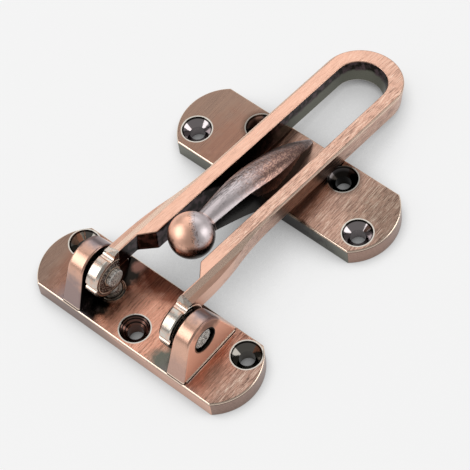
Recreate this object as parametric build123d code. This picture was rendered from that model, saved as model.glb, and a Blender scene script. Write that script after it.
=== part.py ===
"""Swing-bar door guard: a U-shaped bar hinged on a plate, and a ball catch on a second plate.

The frame's origin is at the middle of the bar plate's back. +X runs along that plate,
+Y towards the catch plate, and +Z out of the door. All sizes are in millimetres.
"""
import os
from math import atan, cos, degrees, radians, sin, tan

from build123d import *

# Both plates: straight long sides, ends bowed out, screw holes countersunk from the front
PLATE_LENGTH = 84.0
PLATE_THICKNESS = 6.6
PLATE_EDGE_RADIUS = 0.6
SCREW_HOLE_RADIUS = 2.6
SINK_RADIUS = 5.0
SINK_ANGLE = 90

# Bar plate
BAR_PLATE_HALF_WIDTH = 13.0
BAR_PLATE_END_RISE = 6.2
BAR_END_HOLE_X = 33.8
BAR_END_HOLE_Y = 7.2
BAR_MIDDLE_HOLE_Y = -6.7

# Ears, cast in one with the bar plate
EAR_INNER_X = 18.0
EAR_THICKNESS = 7.4
EAR_DRAFT_ANGLE = 2.3
EAR_TIP_RADIUS = 7.9
EAR_EDGE_RADIUS = 0.8
EAR_FOOT_BEVEL = 0.7
PIVOT_Y = -0.5
PIVOT_HEIGHT = 10.5
PIN_RECESS_RADIUS = 4.2
PIN_RECESS_DEPTH = 1.7

# Swing bar, in its own level frame with the pivot at the origin and the bar along +Y
BAR_TILT = 8.2
BAR_LENGTH = 121.5
BAR_TOP = 9.3
BAR_HEIGHT = 7.6
BAR_FAR_HALF_WIDTH = 14.0
BAR_SIDE_CLEARANCE = 0.8
BAR_SIDE_LEAN = 0.5
BAR_SLOT_HALF_WIDTH = 9.0
BAR_END_WALL = 5.6
BAR_HUB_THICKNESS = 4.4
BAR_SHOULDER_START = 11.7
BAR_SHOULDER_LENGTH = 4.9
BAR_SHOULDER_RADIUS = 1.2
BAR_WAIST_START = 10.0
BAR_WAIST_LENGTH = 36.0
BAR_WALL_LEAN = 0.8
BAR_END_LEAN = 1.4
BAR_BEVEL_START_X = 13.2
BAR_BEVEL_ANGLE = 17
BAR_EDGE_RADIUS = 0.5
BAR_LOW_EDGE_RADIUS = 0.3
BAR_SLOT_EDGE_RADIUS = 0.3
BAR_RAMP_LENGTH = 3.2
HUB_RADIUS = 8.1
HUB_INNER_BEVEL = 0.8
HUB_OUTER_BEVEL = 0.4
GROOVE_RADIUS = 1.3
GROOVE_DEPTH = 1.1
GROOVE_STEP = 90

# Pivot pins, pressed into the ears and peened over inside the hubs, with a cross stamped in each end
PIN_RADIUS = 2.5
PIN_FIT = 0.05
PIN_SEAT = 0.02
PIN_RIM_RADIUS = 3.5
PIN_RIM_THICKNESS = 0.9
PIN_HEAD_RADIUS = 3.0
PIN_HEAD_THICKNESS = 1.4
PIN_HEAD_GAP = 0.2
PIN_EDGE_RADIUS = 0.4
STAMP_WIDTH = 0.7
STAMP_LENGTH = 4.4
STAMP_DEPTH = 0.35

# Detents: a hollow spring plunger under each hub, in a bore with a stepped lip
PLUNGER_RADIUS = 3.3
PLUNGER_FIT = 0.06
PLUNGER_WALL = 0.7
PLUNGER_RISE = 1.6
PLUNGER_TRAVEL = 1.0
PLUNGER_RING_HEIGHT = 0.4
PLUNGER_RING_DEPTH = 0.35
NOSE_RADIUS = 2.0
NOSE_GAP = 0.15
BORE_FLOOR = 1.0
# Each step of the lip: radius, height above the plate
BORE_LIP_STEPS = ((4.5, 0.5), (3.95, 1.0))
SPRING_WIRE_RADIUS = 0.3
SPRING_FIT = 0.15
SPRING_TURNS = 5

# Catch plate, with its arm and ball cast in one
CATCH_Y = 68.1
CATCH_HALF_WIDTH = 13.5
CATCH_END_RISE = 6.7
CATCH_OUTER_HOLE_X = 33.6
CATCH_OUTER_HOLE_Y = -5.8
CATCH_INNER_HOLE_X = 17.2
CATCH_INNER_HOLE_Y = 7.4
BALL_RADIUS = 7.5
BALL_REACH = 44.9
BALL_HEIGHT = 16.3
ARM_ROOT_INSET = 1.2
ARM_ROOT_HEIGHT = 0.5
ARM_RISE = 2.4

# Arm sections: share of the way from the ball to the root, half width at the crease and at the foot,
# then the crown and the crease above the arm's line, and the foot below it
ARM_SECTIONS = (
    (0.05, 3.1, 3.2, 3.3, 1.7, 1.6),
    (0.15, 3.4, 3.7, 3.6, 1.9, 2.4),
    (0.27, 3.95, 4.3, 4.4, 2.65, 4.4),
    (0.41, 4.5, 5.1, 5.0, 3.3, 6.9),
    (0.60, 4.9, 5.1, 5.0, 2.7, 10.1),
    (0.82, 3.5, 3.5, 3.8, 2.3, 5.7),
    (0.92, 2.3, 2.3, 2.6, 1.4, 3.4),
    (1.00, 0.8, 0.8, 1.0, 0.5, 1.4),
)

# Spare length of the bodies that are cut away, so that they pass right through
SPARE = 1.0

# Places that follow from the sizes above
PIVOT_Z = PLATE_THICKNESS + PIVOT_HEIGHT
EAR_OUTER_X = EAR_INNER_X + EAR_THICKNESS
HUB_OUTER_X = EAR_INNER_X - BAR_SIDE_CLEARANCE
HUB_INNER_X = HUB_OUTER_X - BAR_HUB_THICKNESS
HUB_MIDDLE_X = (HUB_OUTER_X + HUB_INNER_X) / 2
SIDES = (("left", -1), ("right", 1))


def plate_blank(half_width, end_rise, holes):
    """A flat plate with bowed ends, softened front edges and countersunk holes."""
    corner_x = PLATE_LENGTH / 2 - end_rise
    with BuildPart() as plate:
        with BuildSketch():
            with BuildLine():
                Line((-corner_x, half_width), (corner_x, half_width))
                ThreePointArc((corner_x, half_width), (PLATE_LENGTH / 2, 0), (corner_x, -half_width))
                Line((corner_x, -half_width), (-corner_x, -half_width))
                ThreePointArc((-corner_x, -half_width), (-PLATE_LENGTH / 2, 0), (-corner_x, half_width))
            make_face()
        extrude(amount=PLATE_THICKNESS)
        fillet(plate.edges().group_by(Axis.Z)[-1], radius=PLATE_EDGE_RADIUS)
        with Locations(*[(x, y, PLATE_THICKNESS) for x, y in holes]):
            CounterSinkHole(SCREW_HOLE_RADIUS, SINK_RADIUS, counter_sink_angle=SINK_ANGLE)
    return plate.part


def disc_x(radius, x_start, x_end, y=PIVOT_Y, z=PIVOT_Z):
    """A cylinder along X between two places."""
    middle = Location(((x_start + x_end) / 2, y, z), (0, 90, 0))
    return middle * Cylinder(radius, abs(x_end - x_start))


def ear(side):
    """A rounded tongue that stands on the plate, thinner towards its tip on both faces."""
    foot_z = PLATE_THICKNESS - PLATE_EDGE_RADIUS
    top_z = PIVOT_Z + EAR_TIP_RADIUS + SPARE
    lean = (top_z - foot_z) * tan(radians(EAR_DRAFT_ANGLE))
    with BuildSketch(Plane.YZ) as tongue:
        with BuildLine():
            Line((-BAR_PLATE_HALF_WIDTH, foot_z), (BAR_PLATE_HALF_WIDTH, foot_z))
            CenterArc((PIVOT_Y, PIVOT_Z), EAR_TIP_RADIUS, 0, 180)
        make_hull()
    with BuildSketch(Plane.XZ) as front:
        Polygon(
            (side * EAR_INNER_X, foot_z),
            (side * EAR_OUTER_X, foot_z),
            (side * (EAR_OUTER_X - lean), top_z),
            (side * (EAR_INNER_X + lean), top_z),
            align=None,
        )
    body = extrude(tongue.sketch, EAR_OUTER_X, both=True)
    body &= extrude(front.sketch, BAR_PLATE_HALF_WIDTH, both=True)
    rims = body.edges().filter_by(lambda e: e.bounding_box().max.Z > foot_z + SPARE)
    rims = rims.filter_by(lambda e: e.bounding_box().size.X < EAR_THICKNESS / 2)
    return fillet(rims, EAR_EDGE_RADIUS) + ear_foot(side)


def ear_foot(side):
    """A small bevel along the outer foot of an ear."""
    foot_x = side * EAR_OUTER_X
    half_length = BAR_PLATE_HALF_WIDTH - EAR_EDGE_RADIUS - EAR_FOOT_BEVEL
    with BuildSketch(Plane.XZ) as bevel:
        Polygon(
            (foot_x - side * EAR_FOOT_BEVEL, PLATE_THICKNESS - PLATE_EDGE_RADIUS),
            (foot_x + side * EAR_FOOT_BEVEL, PLATE_THICKNESS - PLATE_EDGE_RADIUS),
            (foot_x + side * EAR_FOOT_BEVEL, PLATE_THICKNESS),
            (foot_x - side * EAR_FOOT_BEVEL, PLATE_THICKNESS + 2 * EAR_FOOT_BEVEL),
            align=None,
        )
    return extrude(bevel.sketch, half_length, both=True)


def bar_plate():
    """The hinge plate with its two ears, pin seats, recesses and detent bores."""
    holes = [(-BAR_END_HOLE_X, BAR_END_HOLE_Y), (BAR_END_HOLE_X, BAR_END_HOLE_Y), (0, BAR_MIDDLE_HOLE_Y)]
    body = plate_blank(BAR_PLATE_HALF_WIDTH, BAR_PLATE_END_RISE, holes)
    for _, side in SIDES:
        body += ear(side)
        for radius, height in BORE_LIP_STEPS:
            body += upright_disc(radius, BORE_FLOOR, PLATE_THICKNESS + height, side)
    for _, side in SIDES:
        body -= disc_x(PIN_RADIUS + PIN_SEAT, side * (EAR_INNER_X - SPARE), side * (EAR_OUTER_X + SPARE))
        body -= disc_x(PIN_RECESS_RADIUS, side * recess_floor_x(), side * (EAR_OUTER_X + SPARE))
        body -= upright_disc(PLUNGER_RADIUS + PLUNGER_FIT, BORE_FLOOR, plunger_top() + SPARE, side)
    return body


def upright_disc(radius, low_z, high_z, side):
    """A cylinder along Z on the detent's axis."""
    middle = Location((side * HUB_MIDDLE_X, PIVOT_Y, (low_z + high_z) / 2))
    return middle * Cylinder(radius, high_z - low_z)


def recess_floor_x():
    """Where the floor of the recess lies on the ear, at the pivot's height."""
    return EAR_OUTER_X - PIVOT_HEIGHT * tan(radians(EAR_DRAFT_ANGLE)) - PIN_RECESS_DEPTH


def arm_plan():
    """The bar's outer outline from above: broad at the hubs, narrower along the arms, round at the end."""
    waist_end = BAR_WAIST_START + BAR_WAIST_LENGTH
    middle = ((HUB_OUTER_X + BAR_FAR_HALF_WIDTH) / 2, BAR_WAIST_START + BAR_WAIST_LENGTH / 2)
    end_y = BAR_LENGTH - BAR_FAR_HALF_WIDTH
    with BuildSketch() as plan:
        with BuildLine():
            Line((0, 0), (HUB_OUTER_X, 0))
            Line((HUB_OUTER_X, 0), (HUB_OUTER_X, BAR_WAIST_START))
            TangentArc((HUB_OUTER_X, BAR_WAIST_START), middle, tangent=(0, 1))
            TangentArc((BAR_FAR_HALF_WIDTH, waist_end), middle, tangent=(0, -1))
            Line((BAR_FAR_HALF_WIDTH, waist_end), (BAR_FAR_HALF_WIDTH, end_y))
            tip = CenterArc((0, end_y), BAR_FAR_HALF_WIDTH, 0, 90)
            Line(tip @ 1, (0, 0))
        make_face()
        mirror(about=Plane.YZ)
    return plan.sketch


def arm_side():
    """The arms from the side: level, with a short ramp up from the hub."""
    bottom = BAR_TOP - BAR_HEIGHT
    with BuildSketch(Plane.YZ) as profile:
        Polygon(
            (0, bottom),
            (BAR_LENGTH + SPARE, bottom),
            (BAR_LENGTH + SPARE, BAR_TOP),
            (BAR_RAMP_LENGTH, BAR_TOP),
            (0, HUB_RADIUS),
            align=None,
        )
    return profile.sketch


def arm_section():
    """The bar's section across: flat on top, with a bevel that falls away beside the hubs."""
    bottom = BAR_TOP - BAR_HEIGHT
    outer = HUB_OUTER_X + SPARE
    drop = (outer - BAR_BEVEL_START_X) * tan(radians(BAR_BEVEL_ANGLE))
    with BuildSketch(Plane.XZ) as section:
        Polygon(
            (-outer, bottom),
            (outer, bottom),
            (outer, BAR_TOP - drop),
            (BAR_BEVEL_START_X, BAR_TOP),
            (-BAR_BEVEL_START_X, BAR_TOP),
            (-outer, BAR_TOP - drop),
            align=None,
        )
    return section.sketch


def slot_outline(height, half_width, end_y):
    """The slot at one height: wide between the hubs, then a shoulder, then narrow and round-ended."""
    shoulder_end = BAR_SHOULDER_START + BAR_SHOULDER_LENGTH
    start_y = -HUB_RADIUS - SPARE
    with BuildSketch(Plane.XY.offset(height)) as outline:
        with BuildLine():
            Line((0, start_y), (HUB_INNER_X, start_y))
            Polyline(
                (HUB_INNER_X, start_y),
                (HUB_INNER_X, BAR_SHOULDER_START),
                (half_width, shoulder_end),
                (half_width, end_y - half_width),
            )
            tip = CenterArc((0, end_y - half_width), half_width, 0, 90)
            Line(tip @ 1, (0, start_y))
        make_face()
        mirror(about=Plane.YZ)
        corners = outline.vertices().filter_by_position(Axis.Y, start_y + SPARE, shoulder_end + SPARE)
        fillet(corners, radius=BAR_SHOULDER_RADIUS)
    return outline.sketch.face()


def solid_arms():
    """The arms and their closed end before the slot is cut, in the bar's level frame."""
    taper = degrees(atan(BAR_SIDE_LEAN / BAR_HEIGHT))
    arms = extrude(Location((0, 0, BAR_TOP)) * arm_plan(), -BAR_HEIGHT, taper=taper)
    upper_rim = arms.edges().group_by(Axis.Z)[-1].filter_by(lambda e: e.center().Y > SPARE)
    arms = fillet(upper_rim, BAR_EDGE_RADIUS)
    lower_rim = arms.edges().group_by(Axis.Z)[0].filter_by(lambda e: e.center().Y > HUB_RADIUS)
    arms = fillet(lower_rim, BAR_LOW_EDGE_RADIUS)
    arms &= extrude(arm_side(), HUB_OUTER_X, both=True)
    return arms & extrude(arm_section(), BAR_LENGTH, both=True)


def hub(side):
    """A round hub, bevelled at both rims."""
    disc = disc_x(HUB_RADIUS, side * HUB_INNER_X, side * HUB_OUTER_X, 0, 0)
    disc = chamfer(disc.edges().sort_by(Axis.X)[-1 if side < 0 else 0], HUB_INNER_BEVEL)
    outer_rim = disc.edges().filter_by(GeomType.CIRCLE).sort_by(Axis.X)[0 if side < 0 else -1]
    return chamfer(outer_rim, HUB_OUTER_BEVEL)


def slot_tool():
    """What is cut out between the arms: its walls lean in downwards."""
    inner_end = BAR_LENGTH - BAR_END_WALL
    top = BAR_TOP + SPARE
    low = -HUB_RADIUS - SPARE
    lean = BAR_WALL_LEAN * (top - low) / BAR_HEIGHT
    end_lean = BAR_END_LEAN * (top - low) / BAR_HEIGHT
    top_half = BAR_SLOT_HALF_WIDTH + SPARE * BAR_WALL_LEAN / BAR_HEIGHT
    top_end = inner_end + SPARE * BAR_END_LEAN / BAR_HEIGHT
    low_face = slot_outline(low, top_half - lean, top_end - end_lean)
    return loft([low_face, slot_outline(top, top_half, top_end)], ruled=True)


def slot_edges(body, height):
    """The slot's edges at one height, beyond the hubs."""
    edges = body.edges().filter_by(lambda e: abs(e.bounding_box().min.Z - height) < PIN_SEAT)
    edges = edges.filter_by(lambda e: abs(e.bounding_box().max.Z - height) < PIN_SEAT)
    edges = edges.filter_by(lambda e: abs(e.center().X) < HUB_INNER_X - PIN_SEAT)
    return edges.filter_by(lambda e: HUB_RADIUS < e.center().Y < BAR_LENGTH - BAR_END_WALL + PIN_SEAT)


def swing_bar():
    """The U-bar, modelled level with the pivot at the origin, then tilted and set on its axis."""
    body = solid_arms()
    for _, side in SIDES:
        body += hub(side)
    body -= slot_tool()
    body = fillet(slot_edges(body, BAR_TOP), BAR_SLOT_EDGE_RADIUS)
    body = fillet(slot_edges(body, BAR_TOP - BAR_HEIGHT), BAR_SLOT_EDGE_RADIUS)
    through = HUB_OUTER_X + SPARE
    reach = HUB_RADIUS + GROOVE_RADIUS - GROOVE_DEPTH
    for turn in range(3):
        angle = radians(GROOVE_STEP * (turn + 1))
        body -= disc_x(GROOVE_RADIUS, -through, through, reach * cos(angle), reach * sin(angle))
    body -= disc_x(PIN_RADIUS + PIN_FIT, -through, through, 0, 0)
    return Location((0, PIVOT_Y, PIVOT_Z), (-BAR_TILT, 0, 0)) * body


def pivot_pin(side):
    """A pin with a rim in the ear's recess and a peened head inside the hub."""
    floor_x = recess_floor_x()
    head_x = HUB_INNER_X - PIN_HEAD_GAP
    head = disc_x(PIN_HEAD_RADIUS, side * (head_x - PIN_HEAD_THICKNESS), side * head_x)
    rim = disc_x(PIN_RIM_RADIUS, side * floor_x, side * (floor_x + PIN_RIM_THICKNESS))
    head = fillet(head.edges().sort_by(Axis.X)[-1 if side < 0 else 0], PIN_EDGE_RADIUS)
    rim = fillet(rim.edges().sort_by(Axis.X)[0 if side < 0 else -1], PIN_EDGE_RADIUS)
    pin = disc_x(PIN_RADIUS, side * head_x, side * floor_x) + head + rim
    for end_x in (head_x - PIN_HEAD_THICKNESS, floor_x + PIN_RIM_THICKNESS):
        for angle in (45, 135):
            stamp = Box(2 * STAMP_DEPTH, STAMP_LENGTH, STAMP_WIDTH)
            pin -= Location((side * end_x, PIVOT_Y, PIVOT_Z), (angle, 0, 0)) * stamp
    return pin


def plunger_top():
    """Where the plunger's flat shoulder lies: the nose above it stops just short of the hub."""
    return PLATE_THICKNESS + PLUNGER_RISE


def detent_plunger(side):
    """A hollow cup with a domed nose that looks up at the hub's grooves."""
    nose_top = PIVOT_Z - HUB_RADIUS - NOSE_GAP
    foot = BORE_FLOOR + PLUNGER_TRAVEL + NOSE_GAP
    shoulder = plunger_top()
    roof = shoulder - PLUNGER_WALL
    hollow = PLUNGER_RADIUS - PLUNGER_WALL
    ring_top = shoulder - PLUNGER_RING_HEIGHT
    ring_low = ring_top - PLUNGER_RING_HEIGHT
    ring_inner = PLUNGER_RADIUS - PLUNGER_RING_DEPTH
    with BuildPart() as plunger:
        with BuildSketch(Plane.XZ):
            with BuildLine():
                Polyline(
                    (hollow, foot),
                    (PLUNGER_RADIUS, foot),
                    (PLUNGER_RADIUS, ring_low),
                    (ring_inner, ring_low),
                    (ring_inner, ring_top),
                    (PLUNGER_RADIUS, ring_top),
                    (PLUNGER_RADIUS, shoulder),
                    (NOSE_RADIUS, shoulder),
                )
                TangentArc((0, nose_top), (NOSE_RADIUS, shoulder), tangent=(1, 0))
                Polyline((0, nose_top), (0, roof), (hollow, roof), (hollow, foot))
            make_face()
        revolve(axis=Axis.Z)
    return Location((side * HUB_MIDDLE_X, PIVOT_Y, 0)) * plunger.part


def detent_spring(side):
    """A coil spring between the bore's floor and the roof of the plunger's cup."""
    roof = plunger_top() - PLUNGER_WALL
    length = roof - BORE_FLOOR - 2 * SPRING_WIRE_RADIUS
    coil_radius = PLUNGER_RADIUS - PLUNGER_WALL - SPRING_FIT - SPRING_WIRE_RADIUS
    path = Helix(length / SPRING_TURNS, length, coil_radius)
    section = Plane(origin=path @ 0, z_dir=path % 0) * Circle(SPRING_WIRE_RADIUS)
    coil = sweep(section, path=path, is_frenet=True)
    return Location((side * HUB_MIDDLE_X, PIVOT_Y, BORE_FLOOR + SPRING_WIRE_RADIUS)) * coil


def arm_section_face(plane, crease_x, foot_x, crown_z, crease_z, foot_z):
    """One section of the catch arm: a crowned top, a crease at each side, and steep sides below."""
    with BuildSketch(plane) as section:
        with BuildLine():
            ThreePointArc((-crease_x, crease_z), (0, crown_z), (crease_x, crease_z))
            Polyline(
                (crease_x, crease_z),
                (foot_x, -foot_z),
                (-foot_x, -foot_z),
                (-crease_x, crease_z),
            )
        make_face()
    return section.sketch.face()


def catch_arm():
    """The leaf-shaped arm that rises from the plate to the ball, in the catch plate's frame."""
    root_y = CATCH_HALF_WIDTH - ARM_ROOT_INSET
    root_z = PLATE_THICKNESS + ARM_ROOT_HEIGHT
    ball_z = PLATE_THICKNESS + BALL_HEIGHT
    faces = []
    for share, *sizes in ARM_SECTIONS:
        y = -BALL_REACH + share * (root_y + BALL_REACH)
        z = ball_z + share * (root_z - ball_z) + 4 * ARM_RISE * share * (1 - share)
        plane = Plane(origin=(0, y, z), x_dir=(-1, 0, 0), z_dir=(0, 1, 0))
        faces.append(arm_section_face(plane, *sizes))
    return loft(faces)


def catch_plate():
    """The catch plate, its arm and its ball, in one casting."""
    holes = [(side * CATCH_OUTER_HOLE_X, CATCH_OUTER_HOLE_Y) for _, side in SIDES]
    holes += [(side * CATCH_INNER_HOLE_X, CATCH_INNER_HOLE_Y) for _, side in SIDES]
    body = plate_blank(CATCH_HALF_WIDTH, CATCH_END_RISE, holes)
    body += catch_arm()
    body += Location((0, -BALL_REACH, PLATE_THICKNESS + BALL_HEIGHT)) * Sphere(BALL_RADIUS)
    return Location((0, CATCH_Y, 0)) * body


def main():
    os.makedirs("parts", exist_ok=True)
    nodes = {"bar_plate": bar_plate(), "swing_bar": swing_bar(), "catch_plate": catch_plate()}
    for name, side in SIDES:
        nodes[name + "_pivot_pin"] = pivot_pin(side)
        nodes[name + "_detent_plunger"] = detent_plunger(side)
        nodes[name + "_detent_spring"] = detent_spring(side)
    for node, solid in nodes.items():
        export_step(solid, "parts/" + node + ".step")


if __name__ == "__main__":
    main()
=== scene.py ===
"""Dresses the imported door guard: antique copper finishes, coil springs, studio light and camera.

The frame is the CAD model's own: +X along the plates, +Y towards the bar's closed end, +Z out of
the door. Blender works in metres here; the material nodes work in millimetres.
"""
import math

import bpy
from bpy.props import FloatProperty, FloatVectorProperty, IntProperty, PointerProperty
from mathutils import Euler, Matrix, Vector


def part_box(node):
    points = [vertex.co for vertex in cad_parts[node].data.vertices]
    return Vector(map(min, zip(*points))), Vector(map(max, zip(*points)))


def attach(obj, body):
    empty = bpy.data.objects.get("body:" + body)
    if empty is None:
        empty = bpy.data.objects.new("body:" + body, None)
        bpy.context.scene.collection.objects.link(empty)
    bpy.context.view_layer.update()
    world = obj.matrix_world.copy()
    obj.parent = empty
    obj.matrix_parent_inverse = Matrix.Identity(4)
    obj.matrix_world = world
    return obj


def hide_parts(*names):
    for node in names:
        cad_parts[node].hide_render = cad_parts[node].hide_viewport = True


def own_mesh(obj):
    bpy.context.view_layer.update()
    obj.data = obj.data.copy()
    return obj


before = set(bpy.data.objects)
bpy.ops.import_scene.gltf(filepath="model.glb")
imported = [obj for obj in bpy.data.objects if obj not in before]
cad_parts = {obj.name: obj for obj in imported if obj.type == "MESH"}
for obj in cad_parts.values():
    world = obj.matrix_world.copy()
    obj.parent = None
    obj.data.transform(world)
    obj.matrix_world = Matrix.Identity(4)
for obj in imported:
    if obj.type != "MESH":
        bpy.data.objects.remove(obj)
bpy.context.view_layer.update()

bl_info = {
    "name": "Swing Bar Door Guard",
    "version": (1, 0, 0),
    "blender": (4, 5, 0),
    "location": "3D View > Sidebar > Door Guard",
    "description": "Finishes, springs and stage for a swing bar door guard",
    "category": "Object",
}

MM = 0.001
SIDES = ("left", "right")
# The frame's width in pixels
FRAME_WIDTH = 470

# ---- Places on the castings, in millimetres
PLATE_TOP = 6.6
BAR_PLATE_HOLES = ((-33.8, 7.2), (33.8, 7.2), (0, -6.7))
CATCH_PLATE_HOLES = ((-33.6, 62.3), (33.6, 62.3), (-17.2, 75.5), (17.2, 75.5))
DETENT_BORES = ((-15, -0.5), (15, -0.5))
HINGE = (0, -0.5, 17.1)
# How much an ear's faces lean in for each millimetre of height, and where its outer and inner faces lie at
# the foot, as the places along X where each sets in and is full
EAR_LEAN = 0.0402
EAR_OUTER_FACE = (25.5, 25.6)
EAR_INNER_FACE = (18.0, 17.85)
# Where what stands on a plate sets in, as heights
ABOVE_PLATE = (6.62, 6.8)
# How far the bar lies below level with the door shut, in degrees
BAR_TILT = 8.2
# Where the bar's end starts to curve round, in its own frame
BAR_BEND = 107.5

# ---- Scratches: the width and length of a nick and the width of a cloud of wear, in millimetres, and the
# ---- noise levels between which the copper, the nicks and the bright scores come in
NICK_SIZE = (0.28, 4.5)
WEAR_CLOUD = 13
RUBBED_LEVELS = (0.35, 1.6)
NICK_LEVELS = (0.54, 0.6)
SCORE_LEVELS = (0.45, 0.38)
SCRATCH_DEPTH = 0.04 * MM
# Lathe marks on the steel: their length along X and width across it, in millimetres, and their depth
LATHE_MARK = (1.11, 0.4, 0.4)
LATHE_DEPTH = 0.25 * MM

# ---- Rings in and round a countersink, as the radii where each sets in and is full, in millimetres
# The silver rim round a countersink is a painted highlight on its edge
RIM_HIGHLIGHT = (5.45, 5.3)
BLACK_RING = (5.0, 4.9)
GLOSSY_SINK = (4.55, 4.45)
RUSTY_SINK = (4.6, 4.4)
# Turned grooves in the rusty countersink between the ears: radii and half their width
SINK_GROOVES = (4.15, 3.3)
GROOVE_HALF = 0.17

# ---- Rings round the pins and plungers, in the same way
PIN_SEAT_RING = (4.75, 4.6)
PIN_SEAT_HOLLOW = (4.3, 4.2)
COLLAR = (4.62, 4.56)
COLLAR_LIPS = (4.4, 3.85)
LIP_HALF = 0.12
# The two bright rings on the hubs' faces are painted highlights
HUB_HIGHLIGHT_RINGS = (6.25, 3.3)
HUB_HIGHLIGHT_RING_HALF = 0.18
HUB_RIM = (6.85, 7.0)
# Where the hubs end and the arms start, along the bar
HUB_END = (3.6, 3.0)

# ---- Patina and painted-shade areas: colour, surface, centre and reach in millimetres, share, and whether both sides have it
BAR_PLATE_PATINA_AND_SHADE = (
    ("red", "tint", (0, 0, PLATE_TOP), (22, 22, 2.5), 0.6, False),
    # Painted shade and painted reflection: the back between the ears made darker
    ("back_shade", "tint", (-4, 13, PLATE_TOP), (18, 8, 2.5), 1.0, False),
    ("taupe", "tint", (-48, 0, PLATE_TOP), (28, 34, 2.5), 1.0, False),
    ("red", "tint", (29, 4, PLATE_TOP), (7, 22, 3), 0.6, True),
    # Painted shade and painted reflection: the dark and black patches by the hubs and the ears' inner feet
    ("black", "glossy", (-17, -8, PLATE_TOP), (7.5, 9, 2.5), 1.0, False),
    ("black", "glossy", (-16, 7, PLATE_TOP), (6, 11, 2.5), 1.0, False),
    ("black", "glossy", (16.5, 5, PLATE_TOP), (6, 13, 2.5), 1.0, False),
    ("dark", "satin", (15.5, -10, PLATE_TOP), (6, 4.5, 2.5), 1.0, False),
    ("rust", "brushed", (-14, 11, PLATE_TOP), (2.2, 2.2, 2.5), 1.0, False),
    ("copper", "brushed", (30, -7, PLATE_TOP), (5.5, 9, 2.5), 0.35, False),
)
EAR_PATINA = (
    ("slate", "brushed", (21.7, 6.5, 24.0), (8, 7, 5), 0.9, True),
    ("slate", "brushed", (-22, -13, 10), (8, 8, 12), 0.75, False),
    ("slate", "brushed", (22, -13, 9), (8, 8, 8), 0.35, False),
)
CATCH_PLATE_PATINA = (
    ("taupe", "tint", (-42, 72, PLATE_TOP), (46, 36, 2.5), 1.0, False),
    ("red", "tint", (-13, 61, PLATE_TOP), (20, 20, 2.5), 0.5, False),
    ("taupe", "tint", (45, 76, PLATE_TOP), (24, 16, 2.5), 1.0, False),
)
# How high the black on the arm's sides reaches, painted shade and painted reflection of the bar's dark inner
# wall: places along Y, and heights, in millimetres
ARM_SHADE_EDGE = ((30.0, 23.9), (38.6, 23.15), (46.3, 22.05), (49.0, 17.5), (57.0, 12.5), (66.0, 12.0),
              (72.0, 12.6), (80.0, 7.2))
ARM_SHADE_EDGE_TOP = 25.0
# Where the arm meets the ball, along Y
ARM_FROM_BALL = (30.2, 30.8)
BALL_FROM_ARM = (30.8, 30.2)

# ---- Soft boxes: name, azimuth and elevation in degrees, distance, width and height in metres, radiance
LAMPS = (
    ("back_soft_box", 122, 36, 1.3, 1.7, 0.7, 1.15),
    ("top_panel", 140, 64, 1.3, 0.9, 0.6, 0.75),
    ("front_soft_box", -138, 35, 1.3, 1.2, 1.0, 2.3),
    ("right_soft_box", 40, 22, 1.3, 0.8, 0.65, 2.4),
)
LAMP_TARGET = Vector((0, 0.045, 0.01))


def linear(code):
    """An sRGB hex colour as linear RGB."""
    values = [int(code[i:i + 2], 16) / 255 for i in (1, 3, 5)]
    return tuple(v / 12.92 if v <= 0.04045 else ((v + 0.055) / 1.055) ** 2.4 for v in values)


def rgba(colour, gain=1.0):
    """A colour made lighter or darker, with full opacity, for a shader's socket."""
    return (*(min(value * gain, 1.0) for value in colour[:3]), 1.0)


# ---------------------------------------------------------------- settings


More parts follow.
